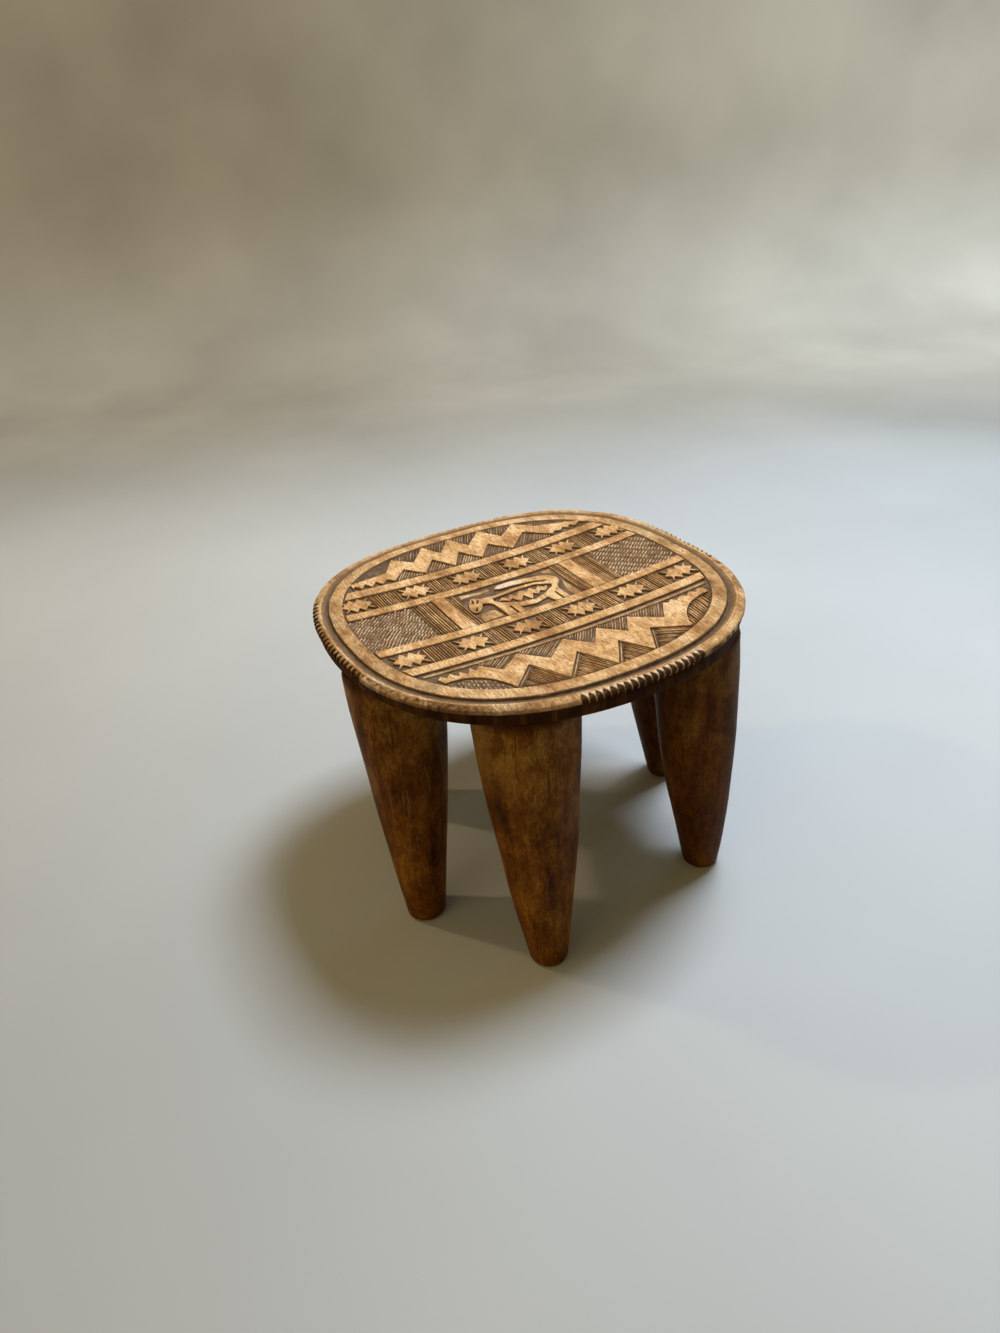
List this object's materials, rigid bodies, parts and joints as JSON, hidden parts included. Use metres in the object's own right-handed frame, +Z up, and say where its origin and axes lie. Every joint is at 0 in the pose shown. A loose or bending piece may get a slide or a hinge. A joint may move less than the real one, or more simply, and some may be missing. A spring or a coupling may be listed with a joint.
{
  "type": "stool",
  "caption": "Low carved wooden stool with a dished, relief-carved seat, a notched rim and tapered round legs.",
  "frame": {"origin": "on the floor, under the middle of the seat", "axes": "+X along the straps of the carved seat towards its right end, +Y across them towards the far edge, +Z up"},
  "size_m": [0.3512, 0.3402, 0.2655],
  "materials": {
    "carved_wood": "light worn hardwood, dark in the carved ground, low satin",
    "leg_wood": "dark reddish brown, satin, handled and lightly scratched"
  },
  "bodies": {
    "root": {"seat": "carved_wood", "leg_right": "leg_wood", "leg_back_right": "leg_wood", "leg_back_left": "leg_wood", "leg_left": "leg_wood", "leg_front_left": "leg_wood", "leg_front_right": "leg_wood"}
  },
  "joints": []
}
